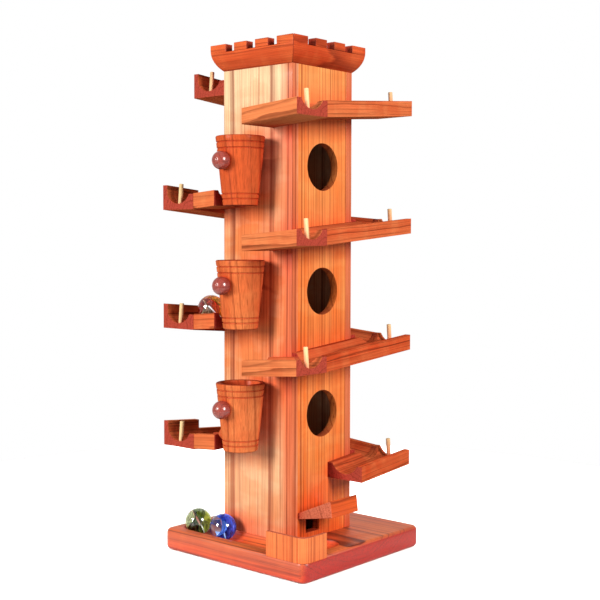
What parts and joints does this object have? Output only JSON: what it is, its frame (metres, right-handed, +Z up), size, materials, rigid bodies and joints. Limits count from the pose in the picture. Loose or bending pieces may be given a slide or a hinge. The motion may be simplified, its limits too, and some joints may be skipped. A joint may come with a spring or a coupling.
{
  "type": "marble run",
  "caption": "Square wooden castle tower with sloped grooved tracks winding round it, tipping buckets, round windows, a battlement cap and a grooved base that collects marbles.",
  "frame": {"origin": "underside of the base board, on the tower's vertical axis", "axes": "+Z up; -Y is the side with the buckets, +X the side with the round windows"},
  "size_m": [0.1745, 0.1873, 0.4695],
  "materials": {
    "tower_wood": "light orange wood with dark straight grain, satin lacquer",
    "fence_wood": "light orange wood, grain upright, satin lacquer",
    "cap_wood": "red-brown wood, satin lacquer",
    "track_wood": "red-orange wood, darker purple-red end grain, satin lacquer",
    "base_wood": "red-brown wood, glossy lacquer",
    "bucket_wood": "turned orange-brown wood, satin lacquer",
    "knob_wood": "dark red-brown turned wood, glossy lacquer",
    "peg_wood": "plain pale dowel, unfinished",
    "green_glass": "clear glass with green and yellow vanes",
    "blue_glass": "clear glass with blue vanes",
    "red_glass": "clear glass with red and orange vanes"
  },
  "bodies": {
    "tower": {"base_board": "base_wood", "fence_front": "fence_wood", "fence_side": "fence_wood", "landing_wedge": "track_wood", "panel_front": "tower_wood", "panel_back": "tower_wood", "panel_left": "tower_wood", "panel_right": "tower_wood", "cap_front": "cap_wood", "cap_back": "cap_wood", "cap_left": "cap_wood", "cap_right": "cap_wood", "roof_board": "cap_wood", "track_1_left": "track_wood", "track_1_back": "track_wood", "track_1_right": "track_wood", "track_1_drop": "track_wood", "track_2_left": "track_wood", "track_2_back": "track_wood", "track_2_right": "track_wood", "track_2_drop": "track_wood", "track_2_catch": "track_wood", "track_3_left": "track_wood", "track_3_back": "track_wood", "track_3_right": "track_wood", "track_3_drop": "track_wood", "track_3_catch": "track_wood", "track_4_left": "track_wood", "track_4_back": "track_wood", "track_4_right": "track_wood", "track_4_catch": "track_wood", "peg_1_left": "peg_wood", "peg_1_back": "peg_wood", "peg_1_right": "peg_wood", "peg_1_drop": "peg_wood", "peg_2_left": "peg_wood", "peg_2_back": "peg_wood", "peg_2_right": "peg_wood", "peg_2_drop": "peg_wood", "peg_3_left": "peg_wood", "peg_3_back": "peg_wood", "peg_3_right": "peg_wood", "peg_3_drop": "peg_wood", "peg_4_left": "peg_wood", "peg_4_back": "peg_wood", "peg_4_right": "peg_wood", "axle_1": "peg_wood", "axle_2": "peg_wood", "axle_3": "peg_wood", "knob_1": "knob_wood", "knob_2": "knob_wood", "knob_3": "knob_wood"},
    "bucket_1": {"bucket_1": "bucket_wood"},
    "bucket_2": {"bucket_2": "bucket_wood"},
    "bucket_3": {"bucket_3": "bucket_wood"},
    "marble_green": {"marble_green": "green_glass"},
    "marble_blue": {"marble_blue": "blue_glass"},
    "marble_red": {"marble_red": "red_glass"}
  },
  "joints": [
    {"name": "bucket_1_tip", "type": "hinge", "parent": "tower", "child": "bucket_1", "pos_m": [0.0018, -0.066, 0.3605], "axis": [0, -1, 0], "range_deg": [0, 95]},
    {"name": "bucket_2_tip", "type": "hinge", "parent": "tower", "child": "bucket_2", "pos_m": [0.0018, -0.066, 0.251], "axis": [0, -1, 0], "range_deg": [0, 95]},
    {"name": "bucket_3_tip", "type": "hinge", "parent": "tower", "child": "bucket_3", "pos_m": [0.0018, -0.066, 0.1415], "axis": [0, -1, 0], "range_deg": [0, 95]},
    {"name": "marble_green_lift", "type": "slide", "parent": "tower", "child": "marble_green", "axis": [0, 0, 1], "range_m": [0, 0.03]},
    {"name": "marble_blue_lift", "type": "slide", "parent": "tower", "child": "marble_blue", "axis": [0, 0, 1], "range_m": [0, 0.03]},
    {"name": "marble_red_lift", "type": "slide", "parent": "tower", "child": "marble_red", "axis": [0, 0, 1], "range_m": [0, 0.03]}
  ]
}
